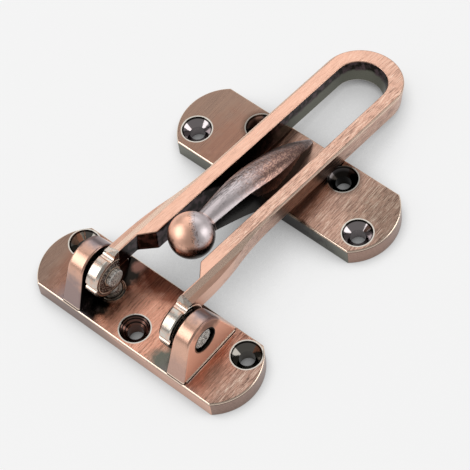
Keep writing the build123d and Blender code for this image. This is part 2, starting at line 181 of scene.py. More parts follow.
class GuardFinish(bpy.types.PropertyGroup):
    """Colours and surface values of the plated castings and of the steel."""
    # Also laid on lighter as painted light on the ears' outer faces and the ball, and as part of a painted
    # highlight on the bar by the right hub
    copper: FloatVectorProperty(
        name="Rubbed copper", description="Where the brown has been brushed off the plating",
        subtype="COLOR", size=3, min=0, max=1, default=linear("#e3b49d"))
    # Also laid on as painted highlights: the two rings on the hub faces
    bright: FloatVectorProperty(
        name="Worn edge", description="Edges where the brush has gone through to the brightest copper",
        subtype="COLOR", size=3, min=0, max=1, default=linear("#f3dcc8"))
    brown: FloatVectorProperty(
        name="Brown patina", description="Where the darkened plating was left on",
        subtype="COLOR", size=3, min=0, max=1, default=linear("#7a6760"))
    red: FloatVectorProperty(
        name="Red tint", description="What warms the brown between the ears and beside them",
        subtype="COLOR", size=3, min=0, max=1, default=linear("#ffd8cb"))
    # Painted shade: darkens the brown at the back between the ears, where the bar's arms and hubs shade and
    # mirror in it
    back_shade: FloatVectorProperty(
        name="Umber tint", description="What darkens the brown along the back edge",
        subtype="COLOR", size=3, min=0, max=1, default=linear("#9b857d"))
    taupe: FloatVectorProperty(
        name="Taupe tint", description="What greys the brown at the plates' ends",
        subtype="COLOR", size=3, min=0, max=1, default=linear("#cdd2d1"))
    rust: FloatVectorProperty(
        name="Rust patina", description="The dark red brown on the arm and low on the ball",
        subtype="COLOR", size=3, min=0, max=1, default=linear("#7c5a50"))
    soot: FloatVectorProperty(
        name="Soot patina", description="The lighter stains on the bar's black inner walls",
        subtype="COLOR", size=3, min=0, max=1, default=linear("#54474a"))
    nick: FloatVectorProperty(
        name="Nicks", description="The dark bottoms of the coarser scratches",
        subtype="COLOR", size=3, min=0, max=1, default=linear("#453731"))
    slate: FloatVectorProperty(
        name="Slate patina", description="The cool grey on the backs of the ears' rims",
        subtype="COLOR", size=3, min=0, max=1, default=linear("#857c80"))
    # Also laid on as painted shade in front of the right hub
    dark: FloatVectorProperty(
        name="Dark plating", description="The unbrushed plating in recesses and on the catch plate's front",
        subtype="COLOR", size=3, min=0, max=1, default=linear("#6a6a60"))
    # Also laid on as painted highlights and glints: countersink rims and the flecks on the hub faces
    silver: FloatVectorProperty(
        name="Bare metal", description="Hub rims and other edges polished by use",
        subtype="COLOR", size=3, min=0, max=1, default=linear("#d6cfc5"))
    # Also laid on a fifth lighter on the ball as painted light
    lilac: FloatVectorProperty(
        name="Lilac plating", description="The thin plating on the arm and on one side of the ball",
        subtype="COLOR", size=3, min=0, max=1, default=linear("#c9bfc0"))
    # Also laid on as painted shade and painted reflection: by the hubs, on the arm's lower side and its lines,
    # on the catch plate's front below the bar, in two screw holes and on the hub faces
    black: FloatVectorProperty(
        name="Black patina", description="The patina that no brush has reached, in the deepest corners",
        subtype="COLOR", size=3, min=0, max=1, default=linear("#26221f"))
    pin: FloatVectorProperty(
        name="Pins", description="The dull nickel of the pivot pins",
        subtype="COLOR", size=3, min=0, max=1, default=linear("#f6f2ec"))
    plunger: FloatVectorProperty(
        name="Plungers", description="The nickel of the detent plungers",
        subtype="COLOR", size=3, min=0, max=1, default=linear("#e2dcd4"))
    spring: FloatVectorProperty(
        name="Spring wire", description="The bright steel wire of the detent springs",
        subtype="COLOR", size=3, min=0, max=1, default=linear("#b9b9bb"))
    roughness: FloatProperty(
        name="Roughness", description="Roughness of the brushed plating",
        subtype="FACTOR", min=0, max=1, default=0.3)
    gloss: FloatProperty(
        name="Gloss", description="Roughness of the unbrushed plating",
        subtype="FACTOR", min=0, max=1, default=0.14)
    streak_width: FloatProperty(
        name="Scratch spacing", description="Spacing of the brushed scratches, in millimetres",
        min=0.1, max=5, default=0.4)
    streak_length: FloatProperty(
        name="Scratch length", description="Length of the brushed scratches, in millimetres",
        min=1, max=100, default=22)


class GuardSpring(bpy.types.PropertyGroup):
    """Sizes of the coil springs under the plungers."""
    wire: FloatProperty(
        name="Wire", description="Diameter of the wire", unit="LENGTH", min=0.0001, default=0.6 * MM)
    turns: FloatProperty(
        name="Turns", description="Turns of one spring", min=1, max=20, default=5)
    steps: IntProperty(
        name="Steps", description="Straight steps that one turn is drawn with", min=8, max=128, default=32)


class GuardStage(bpy.types.PropertyGroup):
    """The camera, the floor and the light."""
    camera_place: FloatVectorProperty(
        name="Camera", description="Where the camera stands", subtype="TRANSLATION", size=3,
        default=(0.28242, -0.21024, 0.58938))
    camera_turn: FloatVectorProperty(
        name="Camera turn", description="How the camera is turned", subtype="EULER", size=3,
        default=tuple(math.radians(a) for a in (32.282, 5.273, 40.079)))
    lens_per_width: FloatProperty(
        name="Focal length", description="Focal length as a multiple of the frame's width",
        min=0.5, max=20, default=2181.98 / FRAME_WIDTH)
    floor: FloatVectorProperty(
        name="Floor", description="Colour of the paper sweep", subtype="COLOR", size=3, min=0, max=1,
        default=linear("#f6f6f6"))
    floor_glow: FloatProperty(
        name="Floor glow", description="Share of the paper that is lit from behind",
        subtype="FACTOR", min=0, max=1, default=0.9)
    room: FloatProperty(name="Room light", description="Strength of the light all round", min=0, default=0.3)


# ---------------------------------------------------------------- node helper


def add(tree, kind, links=None, **settings):
    """Adds a node, sets its properties and sockets and joins its inputs; a node means its first output."""
    node = tree.nodes.new(kind)
    for key, value in settings.items():
        setattr(node, key, value)
    for socket, source in (links or {}).items():
        if isinstance(source, bpy.types.Node):
            source = next(output for output in source.outputs if output.enabled)
        if isinstance(source, bpy.types.NodeSocket):
            tree.links.new(source, node.inputs[socket])
        else:
            node.inputs[socket].default_value = source
    return node


def new_material(name):
    """An empty node material and its tree."""
    material = bpy.data.materials.new(name)
    material.use_nodes = True
    tree = material.node_tree
    tree.nodes.clear()
    return material, tree


# ---------------------------------------------------------------- finishes


def millimetres(tree):
    """The place on the object, in millimetres."""
    coordinates = add(tree, "ShaderNodeTexCoord").outputs["Object"]
    return add(tree, "ShaderNodeVectorMath", {0: coordinates, "Scale": 1000}, operation="SCALE")


def brushed(tree, place, finish, wear, marked):
    """Brushed plating: colour, roughness and scratch height, from a place in millimetres.

    Pink copper shows in scratches along Y where the brush went through the brown; wear, from 0 to 1,
    says how far it did, and marked how much of the area has dark nicks and bright scores. Real scratches
    are about 0.1 mm apart, which is finer than a pixel, so they are drawn at about four times that.
    """
    wide, long = finish.streak_width, finish.streak_length
    along = add(tree, "ShaderNodeMapping", {"Vector": place, "Scale": (1 / wide, 1 / long, 1 / wide)})
    streaks = add(tree, "ShaderNodeTexNoise", {"Vector": along, "Scale": 1.0, "Detail": 3.0,
                                               "Roughness": 0.6})
    wide, long = NICK_SIZE
    along = add(tree, "ShaderNodeMapping", {"Vector": place, "Scale": (1 / wide, 1 / long, 1 / wide)})
    nicks = add(tree, "ShaderNodeTexNoise", {"Vector": along, "Scale": 1.0, "Detail": 3.0, "Roughness": 0.75})
    patches = add(tree, "ShaderNodeTexNoise", {"Vector": place, "Scale": 1 / WEAR_CLOUD, "Detail": 3.0})
    patches = add(tree, "ShaderNodeMapRange", {"Value": patches, "To Min": 0.3, "To Max": 0.7})
    total = add(tree, "ShaderNodeMath", {0: streaks, 1: 0.7, 2: patches}, operation="MULTIPLY_ADD")
    total = add(tree, "ShaderNodeMath", {0: wear, 1: 0.8, 2: total}, operation="MULTIPLY_ADD")
    rubbed = add(tree, "ShaderNodeMapRange", {"Value": total, "From Min": RUBBED_LEVELS[0],
                                              "From Max": RUBBED_LEVELS[1]})
    colour = add(tree, "ShaderNodeMix", {0: rubbed, 6: rgba(finish.brown), 7: rgba(finish.copper)},
                 data_type="RGBA")
    for (start, full), mark in ((NICK_LEVELS, finish.nick), (SCORE_LEVELS, finish.bright)):
        share = add(tree, "ShaderNodeMapRange", {"Value": nicks, "From Min": start, "From Max": full})
        share = add(tree, "ShaderNodeMath", {0: share, 1: marked}, operation="MULTIPLY")
        colour = add(tree, "ShaderNodeMix", {0: share, 6: colour, 7: rgba(mark)}, data_type="RGBA")
    rough = add(tree, "ShaderNodeMapRange", {"Value": streaks, "From Min": 0.3, "From Max": 0.7,
                                             "To Min": finish.roughness - 0.06,
                                             "To Max": finish.roughness + 0.1})
    return colour, rough, streaks


def hole_distance(tree, place, points):
    """The distance to the nearest of some upright axes, in millimetres."""
    flat = add(tree, "ShaderNodeVectorMath", {0: place, 1: (1, 1, 0)}, operation="MULTIPLY")
    nearest = None
    for x, y in points:
        away = add(tree, "ShaderNodeVectorMath", {0: flat, 1: (x, y, 0)}, operation="DISTANCE")
        away = away.outputs["Value"]
        if nearest is not None:
            away = add(tree, "ShaderNodeMath", {0: away, 1: nearest}, operation="MINIMUM")
        nearest = away
    return nearest


def area(tree, place, centre, reach, cloud, share=1.0):
    """An area, used for patina and wear and for painted light and shade: full in the middle, and fading
    unevenly at about its reach along each axis.
    """
    offset = add(tree, "ShaderNodeVectorMath", {0: place, 1: centre}, operation="SUBTRACT")
    scaled = add(tree, "ShaderNodeVectorMath", {0: offset, 1: [1 / r for r in reach]}, operation="MULTIPLY")
    away = add(tree, "ShaderNodeVectorMath", {0: scaled}, operation="LENGTH").outputs["Value"]
    uneven = add(tree, "ShaderNodeMath", {0: cloud, 1: 0.8, 2: away}, operation="MULTIPLY_ADD")
    return add(tree, "ShaderNodeMapRange", {"Value": uneven, "From Min": 1.6, "From Max": 1.0,
                                            "To Max": share})


def patina(tree, finish, places, cloud, rows):
    """The layers of a table of patina and painted-shade areas; places are the real one and the one with both
    sides folded.
    """
    rough = {"tint": None, "glossy": finish.gloss, "satin": finish.gloss + 0.1, "brushed": finish.roughness}
    return [(area(tree, places[both], centre, reach, cloud, share), rgba(getattr(finish, colour)),
             rough[surface])
            for colour, surface, centre, reach, share, both in rows]


def finish_surface(tree, layers, height):
    """Lays finishes over each other and joins them to the output.

    Each is a (share, colour, roughness); one without a roughness only tints what is under it.
    """
    _, colour, rough = layers[0]
    for share, over, over_rough in layers[1:]:
        blend = "MULTIPLY" if over_rough is None else "MIX"
        colour = add(tree, "ShaderNodeMix", {0: share, 6: colour, 7: over}, data_type="RGBA",
                     blend_type=blend)
        if over_rough is not None:
            rough = add(tree, "ShaderNodeMix", {0: share, 2: rough, 3: over_rough})
    bump = add(tree, "ShaderNodeBump", {"Height": height, "Strength": 0.3, "Distance": SCRATCH_DEPTH})
    shader = add(tree, "ShaderNodeBsdfPrincipled", {"Base Color": colour, "Metallic": 1.0,
                                                    "Roughness": rough, "Normal": bump})
    add(tree, "ShaderNodeOutputMaterial", {"Surface": shader})


def plate_layers(tree, place, finish, wear, marked, holes, sink):
    """What both plates have: brushed tops and ends, bright edges over a dark line, glossy countersinks."""
    z = add(tree, "ShaderNodeSeparateXYZ", {0: place}).outputs["Z"]
    colour, rough, height = brushed(tree, place, finish, wear, marked)
    edge = add(tree, "ShaderNodeMath", {0: z, 1: 6.36, 2: 0.2}, operation="COMPARE")
    line = add(tree, "ShaderNodeMath", {0: z, 1: 5.93, 2: 0.17}, operation="COMPARE")
    line = add(tree, "ShaderNodeMath", {0: line, 1: 0.75}, operation="MULTIPLY")
    # The sides were brushed along the edge, so they look even
    side = add(tree, "ShaderNodeMapRange", {"Value": z, "From Min": 6.25, "From Max": 6.1, "To Max": 0.8})
    even = add(tree, "ShaderNodeMix", {0: wear, 6: rgba(finish.brown), 7: rgba(finish.copper)},
               data_type="RGBA")
    layers = [(None, colour, rough), (side, even, finish.roughness),
              (line, rgba(finish.black), finish.gloss), (edge, rgba(finish.bright), finish.gloss + 0.1)]
    away = hole_distance(tree, place, holes)
    # Silver rim, a painted highlight, then a black ring and the glossy countersink
    for (start, full), ring, shine in ((RIM_HIGHLIGHT, rgba(finish.silver), finish.gloss + 0.06),
                                       (BLACK_RING, rgba(finish.black), finish.gloss),
                                       (GLOSSY_SINK, sink, finish.gloss - 0.05)):
        share = add(tree, "ShaderNodeMapRange", {"Value": away, "From Min": start, "From Max": full})
        layers.append((share, ring, shine))
    return layers, height


def ear_layers(tree, finish, places, cloud, above):
    """What the ears have over the plate's brushing.

    Their rims look evenly rubbed and slate behind and low in front, their outer faces dull and pink, in a
    lighter copper that is painted light, above a dark crease with a bright line, and their inner faces black.
    """
    split = add(tree, "ShaderNodeSeparateXYZ", {0: places[True]}).outputs
    # The outer faces take copper three tenths lighter than the rims: painted light
    lit_outer_face = add(tree, "ShaderNodeMath", {0: split["Z"], 1: EAR_LEAN, 2: split["X"]}, operation="MULTIPLY_ADD")
    lit_outer_face = add(tree, "ShaderNodeMapRange", {"Value": lit_outer_face, "From Min": EAR_OUTER_FACE[0],
                                           "From Max": EAR_OUTER_FACE[1]})
    foot = add(tree, "ShaderNodeMapRange", {"Value": split["Z"], "From Min": 7.3, "From Max": 7.6})
    lit_outer_face = add(tree, "ShaderNodeMath", {0: lit_outer_face, 1: foot}, operation="MULTIPLY")
    inner = add(tree, "ShaderNodeMath", {0: split["Z"], 1: -EAR_LEAN, 2: split["X"]},
                operation="MULTIPLY_ADD")
    inner = add(tree, "ShaderNodeMapRange", {"Value": inner, "From Min": EAR_INNER_FACE[0],
                                             "From Max": EAR_INNER_FACE[1]})
    inner = add(tree, "ShaderNodeMath", {0: inner, 1: above}, operation="MULTIPLY")
    rubbed = add(tree, "ShaderNodeMath", {0: above, 1: 0.75}, operation="MULTIPLY")
    crease = add(tree, "ShaderNodeMath", {0: split["Z"], 1: 6.9, 2: 0.14}, operation="COMPARE")
    shine = add(tree, "ShaderNodeMath", {0: split["Z"], 1: 7.25, 2: 0.16}, operation="COMPARE")
    # Painted shade: a rust-brown patch near the top of each outer face
    stain_and_shade = area(tree, places[True], (25.4, 4, 22.8), (2, 8, 4.5), cloud, 0.75)
    return [(rubbed, rgba(finish.copper), finish.roughness),
            *patina(tree, finish, places, cloud, EAR_PATINA),
            (lit_outer_face, rgba(finish.copper, 1.3), 0.75), (stain_and_shade, rgba(finish.rust), 0.5),
            (crease, rgba(finish.black), finish.gloss), (shine, rgba(finish.bright), finish.gloss),
            (inner, rgba(finish.black), finish.gloss)]


def bar_plate_material(finish):
    """Zinc casting, copper plated, browned and brushed, which gives pink scratches on a satin brown.

    The ears' inner faces, which no brush reached, stay black and glossy; the black corners by the hubs and the
    ears' feet are painted shade and painted reflection of them.
    """
    material, tree = new_material("brushed_antique_copper_bar_plate")
    place = millimetres(tree)
    split = add(tree, "ShaderNodeSeparateXYZ", {0: place}).outputs
    x = add(tree, "ShaderNodeMath", {0: split["X"]}, operation="ABSOLUTE")
    places = (place, add(tree, "ShaderNodeCombineXYZ", {0: x, 1: split["Y"], 2: split["Z"]}))
    cloud = add(tree, "ShaderNodeTexNoise", {"Vector": place, "Scale": 0.4, "Detail": 3.0})
    # The ears' tops, the front's right half and the middle are worn most
    wear = add(tree, "ShaderNodeMapRange", {"Value": split["Z"], "From Min": 9.0, "From Max": 19.0,
                                            "To Min": 0.1, "To Max": 0.85})
    front = add(tree, "ShaderNodeMapRange", {"Value": split["Y"], "From Min": -12.8, "From Max": -12.9})
    right = add(tree, "ShaderNodeMapRange", {"Value": split["X"], "From Min": -15, "From Max": 20})
    wear = add(tree, "ShaderNodeMath", {0: front, 1: right, 2: wear}, operation="MULTIPLY_ADD")
    middle = area(tree, place, (2, -3, PLATE_TOP), (17, 13, 2.5), cloud, 1.1)
    wear = add(tree, "ShaderNodeMath", {0: wear, 1: middle}, operation="ADD")
    marked = add(tree, "ShaderNodeMapRange", {"Value": split["X"], "From Min": -25, "From Max": 30,
                                              "To Min": 0.1, "To Max": 0.75})
    layers, height = plate_layers(tree, place, finish, wear, marked, BAR_PLATE_HOLES,
                                  rgba(finish.silver, 0.3))
    above = add(tree, "ShaderNodeMapRange", {"Value": split["Z"], "From Min": ABOVE_PLATE[0],
                                             "From Max": ABOVE_PLATE[1]})
    layers[1:1] = (patina(tree, finish, places, cloud, BAR_PLATE_PATINA_AND_SHADE)
                   + ear_layers(tree, finish, places, cloud, above))

    # The recesses that the pins' outer heads sit in
    level = add(tree, "ShaderNodeVectorMath", {0: place, 1: (0, 1, 1)}, operation="MULTIPLY")
    seat = add(tree, "ShaderNodeVectorMath", {0: level, 1: HINGE}, operation="DISTANCE").outputs["Value"]
    for (start, full), colour in ((PIN_SEAT_RING, finish.silver), (PIN_SEAT_HOLLOW, finish.black)):
        share = add(tree, "ShaderNodeMapRange", {"Value": seat, "From Min": start, "From Max": full})
        layers.append((share, rgba(colour), finish.gloss))

    # The countersink between the ears is rusty, with turned grooves
    away = hole_distance(tree, place, BAR_PLATE_HOLES[2:])
    rusty = add(tree, "ShaderNodeMapRange", {"Value": away, "From Min": RUSTY_SINK[0],
                                             "From Max": RUSTY_SINK[1]})
    layers.append((rusty, rgba(finish.rust), finish.gloss + 0.1))
    for radius in SINK_GROOVES:
        groove = add(tree, "ShaderNodeMath", {0: away, 1: radius, 2: GROOVE_HALF}, operation="COMPARE")
        layers.append((groove, rgba(finish.black), finish.gloss))

    # The collars round the plungers are black, with two silver lips
    bore = hole_distance(tree, place, DETENT_BORES)
    collar = add(tree, "ShaderNodeMapRange", {"Value": bore, "From Min": COLLAR[0], "From Max": COLLAR[1]})
    lips = [add(tree, "ShaderNodeMath", {0: bore, 1: radius, 2: LIP_HALF}, operation="COMPARE")
            for radius in COLLAR_LIPS]
    lips = add(tree, "ShaderNodeMath", {0: lips[0], 1: lips[1]}, operation="MAXIMUM")
    low = add(tree, "ShaderNodeMapRange", {"Value": split["Z"], "From Min": 9.0, "From Max": 8.9})
    for share, colour in ((collar, finish.black), (lips, finish.silver)):
        for within in (low, above):
            share = add(tree, "ShaderNodeMath", {0: share, 1: within}, operation="MULTIPLY")
        layers.append((share, rgba(colour), finish.gloss))
    finish_surface(tree, layers, height)
    return material


def arm_layers(tree, finish, place, split, speckle, right, raised):
    """The arm: lilac, with fine black lines on its left side, scored rust at its root and black underneath; the
    lines and the black are painted reflection and painted shade of the bar's dark inner wall.
    """
    lilac = add(tree, "ShaderNodeMath", {0: right, 1: raised}, operation="MULTIPLY")
    layers = [(lilac, rgba(finish.lilac), finish.roughness + 0.1)]
    # Dark lengthwise lines, painted reflection of the bar's striped inner wall, drawn as coarse as the
    # scratches
    lined = add(tree, "ShaderNodeMapping", {"Vector": place, "Scale": (1 / 0.4, 1 / 60, 1 / 0.4)})
    lines = add(tree, "ShaderNodeTexNoise", {"Vector": lined, "Scale": 1.0, "Detail": 2.0, "Roughness": 0.6})
    lines = add(tree, "ShaderNodeMapRange", {"Value": lines, "From Min": 0.47, "From Max": 0.51,
                                             "To Max": 0.85})
    reflected_lines = area(tree, place, (-7, 44, 20), (8.5, 24, 10), speckle)
    reflected_lines = add(tree, "ShaderNodeMath", {0: reflected_lines, 1: lines}, operation="MULTIPLY")
    layers.append((reflected_lines, rgba(finish.black), finish.gloss + 0.1))

    scored = add(tree, "ShaderNodeMapping", {"Vector": place, "Scale": (1 / 0.4, 1 / 1.6, 1 / 0.4)})
    scores = add(tree, "ShaderNodeTexNoise", {"Vector": scored, "Scale": 1.0, "Detail": 3.0,
                                              "Roughness": 0.7})
    scores = add(tree, "ShaderNodeMapRange", {"Value": scores, "From Min": 0.5, "From Max": 0.58,
                                              "To Max": 0.65})
    pink = add(tree, "ShaderNodeMix", {0: scores, 6: rgba(finish.rust), 7: rgba(finish.copper)},
               data_type="RGBA")
    root = area(tree, place, (3.5, 62, 14), (7, 22, 14), speckle, 0.9)
    strip = area(tree, place, (-6, 50, 17), (5.5, 26, 9), speckle, 0.7)
    for share in (root, strip):
        share = add(tree, "ShaderNodeMath", {0: share, 1: raised}, operation="MULTIPLY")
        layers.append((share, pink, finish.roughness))

    # Black below a line that a curve over the arm's length gives, painted shade and painted reflection of the
    # bar's dark inner wall; towards the root its edge is blotchy
    start, end = ARM_SHADE_EDGE[0][0], ARM_SHADE_EDGE[-1][0]
    along = add(tree, "ShaderNodeMapRange", {"Value": split["Y"], "From Min": start, "From Max": end})
    height = add(tree, "ShaderNodeFloatCurve", {"Value": along})
    points = height.mapping.curves[0].points
    for _ in ARM_SHADE_EDGE[1:-1]:
        points.new(0.5, 0.5)
    for point, (y, z) in zip(points, ARM_SHADE_EDGE):
        point.location = ((y - start) / (end - start), z / ARM_SHADE_EDGE_TOP)
        point.handle_type = "VECTOR"
    height.mapping.update()
    blot = add(tree, "ShaderNodeMath", {0: speckle, 1: -3.0, 2: 1.5}, operation="MULTIPLY_ADD")
    loose = add(tree, "ShaderNodeMapRange", {"Value": split["Y"], "From Min": 46.0, "From Max": 50.0})
    blot = add(tree, "ShaderNodeMath", {0: blot, 1: loose, 2: split["Z"]}, operation="MULTIPLY_ADD")
    under = add(tree, "ShaderNodeMath", {0: height, 1: ARM_SHADE_EDGE_TOP}, operation="MULTIPLY")
    under = add(tree, "ShaderNodeMath", {0: under, 1: blot}, operation="SUBTRACT")
    under = add(tree, "ShaderNodeMapRange", {"Value": under, "From Min": -0.1, "From Max": 0.25})
    beyond = add(tree, "ShaderNodeMapRange", {"Value": split["Y"], "From Min": ARM_FROM_BALL[0],
                                              "From Max": ARM_FROM_BALL[1]})
    for within in (beyond, raised):
        under = add(tree, "ShaderNodeMath", {0: under, 1: within}, operation="MULTIPLY")
    return layers + [(under, rgba(finish.black), finish.gloss + 0.1)]


def ball_layers(tree, finish, place, split, speckle, across, right):
    """The ball: satin copper and lilac halves, lighter as painted light, rusty dots on the seam between, and
    rust then black towards the bottom.
    """
    ball = add(tree, "ShaderNodeMapRange", {"Value": split["Y"], "From Min": BALL_FROM_ARM[0],
                                            "From Max": BALL_FROM_ARM[1]})
    half = add(tree, "ShaderNodeMath", {0: right, 1: ball}, operation="MULTIPLY")
    # The ball's copper and lilac are lighter than elsewhere: painted light
    layers = [(ball, rgba(finish.copper, 1.25), 0.42), (half, rgba(finish.lilac, 1.2), 0.42)]
    seam = add(tree, "ShaderNodeMath", {0: across, 1: 18.2, 2: 1.1}, operation="COMPARE")
    dots = add(tree, "ShaderNodeTexNoise", {"Vector": place, "Scale": 2.2, "Detail": 3.0, "Roughness": 0.7})
    dots = add(tree, "ShaderNodeMapRange", {"Value": dots, "From Min": 0.53, "From Max": 0.58,
                                            "To Max": 0.75})
    for within in (dots, ball):
        seam = add(tree, "ShaderNodeMath", {0: seam, 1: within}, operation="MULTIPLY")
    layers.append((seam, rgba(finish.rust), finish.roughness))
    # Darker towards the bottom: rust, then black
    mottle = add(tree, "ShaderNodeMath", {0: speckle, 1: 6.0, 2: split["Z"]}, operation="MULTIPLY_ADD")
    for start, full, colour, share in ((29.6, 27.8, finish.rust, 0.75), (27.0, 26.0, finish.black, 0.9)):
        band = add(tree, "ShaderNodeMapRange", {"Value": mottle, "From Min": start, "From Max": full,
                                                "To Max": share})
        band = add(tree, "ShaderNodeMath", {0: band, 1: ball}, operation="MULTIPLY")
        layers.append((band, rgba(colour), finish.gloss + 0.1))
    return layers


def catch_plate_material(finish):
    """The same plating; its front side was not brushed, and the arm and half the ball keep a lilac tone."""
    material, tree = new_material("brushed_antique_copper_catch_plate")
    place = millimetres(tree)
    split = add(tree, "ShaderNodeSeparateXYZ", {0: place}).outputs
    wear = add(tree, "ShaderNodeMapRange", {"Value": split["Z"], "From Min": 7.0, "From Max": 20.0,
                                            "To Min": 0.2, "To Max": 0.85})
    marked = add(tree, "ShaderNodeMapRange", {"Value": split["X"], "From Min": -25, "From Max": 30,
                                              "To Min": 0.05, "To Max": 0.6})
    layers, height = plate_layers(tree, place, finish, wear, marked, CATCH_PLATE_HOLES,
                                  rgba(finish.lilac, 0.7))
    cloud = add(tree, "ShaderNodeTexNoise", {"Vector": place, "Scale": 0.4, "Detail": 3.0})
    speckle = add(tree, "ShaderNodeTexNoise", {"Vector": place, "Scale": 0.9, "Detail": 5.0,
                                               "Roughness": 0.7})
    layers[1:1] = patina(tree, finish, (place,), cloud, CATCH_PLATE_PATINA)
    # Painted shade: the two inner screw holes and their countersinks black
    for x, y in CATCH_PLATE_HOLES[2:]:
        layers.append((area(tree, place, (x, y, 4), (6.3, 6.3, 9), 0.5), rgba(finish.black), finish.gloss))

    # The front side kept its dark plating; the black near the middle is a painted shadow of the bar's right arm
    front = add(tree, "ShaderNodeMapRange", {"Value": split["Y"], "From Min": 54.8, "From Max": 54.7})
    below = add(tree, "ShaderNodeMapRange", {"Value": split["Z"], "From Min": 6.15, "From Max": 6.0})
    front = add(tree, "ShaderNodeMath", {0: front, 1: below}, operation="MULTIPLY")
    bar_arm_shadow = area(tree, place, (8, 54, 3), (22, 2, 6), cloud)
    layers += [(front, rgba(finish.dark), finish.gloss + 0.1),
               (bar_arm_shadow, rgba(finish.black), finish.gloss + 0.1)]

    # The plating is lilac to the right of a seam that runs askew over ball and arm
    raised = add(tree, "ShaderNodeMapRange", {"Value": split["Z"], "From Min": ABOVE_PLATE[0],
                                              "From Max": ABOVE_PLATE[1]})
    across = add(tree, "ShaderNodeVectorMath", {0: place, 1: (0.67, 0.74, 0)}, operation="DOT_PRODUCT")
    across = across.outputs["Value"]
    right = add(tree, "ShaderNodeMath", {0: speckle, 1: 3.0, 2: across}, operation="MULTIPLY_ADD")
    right = add(tree, "ShaderNodeMapRange", {"Value": right, "From Min": 18.9, "From Max": 20.4})
    layers += arm_layers(tree, finish, place, split, speckle, right, raised)
    layers += ball_layers(tree, finish, place, split, speckle, across, right)
    finish_surface(tree, layers, height)
    return material


